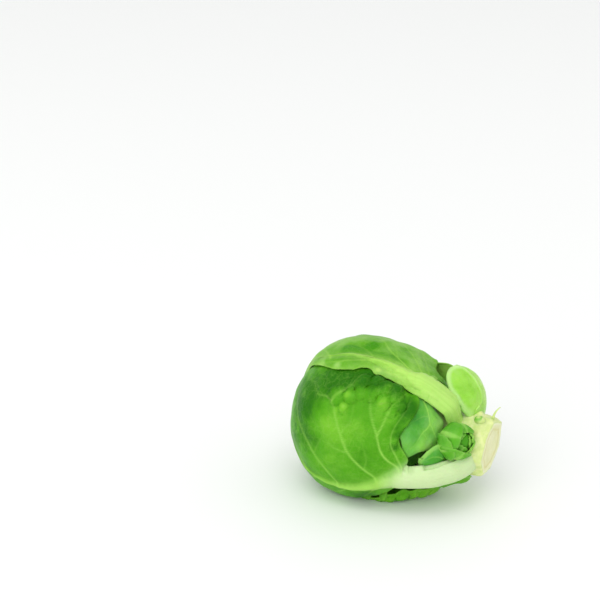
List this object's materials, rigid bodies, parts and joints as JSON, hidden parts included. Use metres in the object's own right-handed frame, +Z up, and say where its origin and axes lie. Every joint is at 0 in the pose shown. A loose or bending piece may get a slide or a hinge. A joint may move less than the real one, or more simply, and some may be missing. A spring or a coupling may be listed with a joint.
{
  "type": "brussels sprout",
  "caption": "Trimmed Brussels sprout lying on its side: a tight round head of overlapping cupped leaves on a short cut stem.",
  "frame": {"origin": "middle of the small flat spot under the head on which the sprout rests, at table height", "axes": "+X towards the cut end of the stem, which dips 6 degrees below level; +Y away from the side with the side bud; +Z up from the table"},
  "size_m": [0.0486, 0.037, 0.036],
  "materials": {
    "stem": "matt cream-green cut stem",
    "inner_leaf": "smooth yellow-green leaf",
    "young_leaf": "smooth mid-green leaf",
    "outer_leaf": "waxy green leaf with pale veins"
  },
  "bodies": {
    "root": {"stem": "stem", "heart": "inner_leaf", "inner_leaf_low": "inner_leaf", "inner_leaf_back": "inner_leaf", "inner_leaf_front": "inner_leaf", "window_leaf": "young_leaf", "curled_leaf": "young_leaf", "side_bud": "young_leaf", "spoon_leaf": "young_leaf", "leaf_back_low": "outer_leaf", "leaf_front": "outer_leaf", "leaf_back_high": "outer_leaf", "leaf_top": "outer_leaf", "leaf_under": "outer_leaf"}
  },
  "joints": []
}
